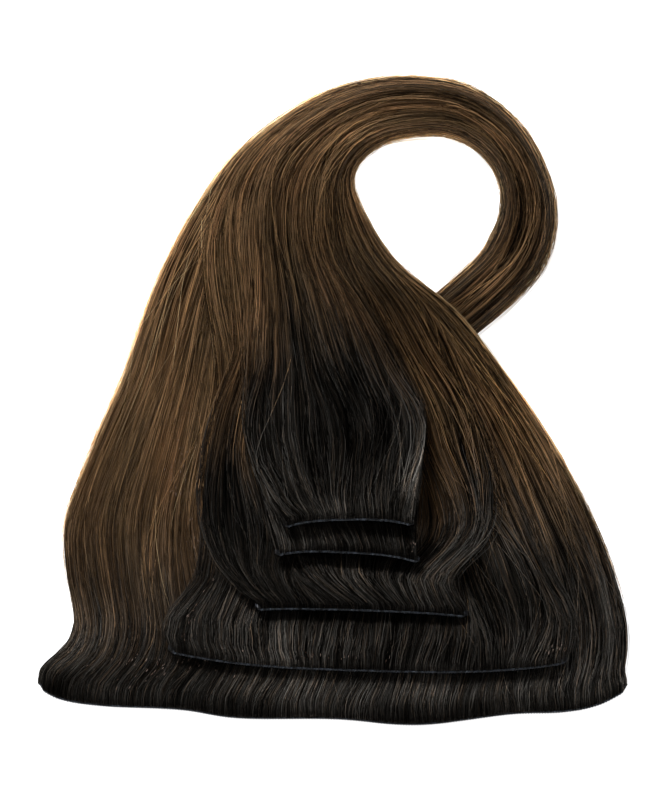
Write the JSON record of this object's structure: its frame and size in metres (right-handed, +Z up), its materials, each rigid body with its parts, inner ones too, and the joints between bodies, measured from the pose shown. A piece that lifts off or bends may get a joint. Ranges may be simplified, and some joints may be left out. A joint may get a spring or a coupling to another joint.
{
  "type": "clip in hair extension",
  "caption": "Clip-in hair extension lying flat: sewn wefts with snap clips under their bands, stacked by width, their straight dark hair combed into one looped hank.",
  "frame": {"origin": "centre of the bounding box at the surface that the object lies on", "axes": "+Y from the widest band towards the loop, +X towards the side that the loop turns to, +Z up off the surface"},
  "size_m": [0.25, 0.2748, 0.0295],
  "materials": {
    "hair": "straight dark brown hair, near black at the roots and golden brown towards the ends, satin sheen",
    "band": "folded and stitched black tape, slightly glossy",
    "clip": "dark brown lacquered spring steel"
  },
  "bodies": {
    "root": {"weft_1_band": "band", "weft_1_hair": "hair", "weft_1_clip_1": "clip", "weft_1_clip_2": "clip", "weft_1_clip_3": "clip", "weft_1_clip_4": "clip", "weft_2_band": "band", "weft_2_hair": "hair", "weft_2_clip_1": "clip", "weft_2_clip_2": "clip", "weft_2_clip_3": "clip", "weft_3_band": "band", "weft_3_hair": "hair", "weft_3_clip_1": "clip", "weft_3_clip_2": "clip", "weft_4_band": "band", "weft_4_hair": "hair", "weft_4_clip_1": "clip", "weft_5_band": "band", "weft_5_hair": "hair", "weft_5_clip_1": "clip"}
  },
  "joints": []
}
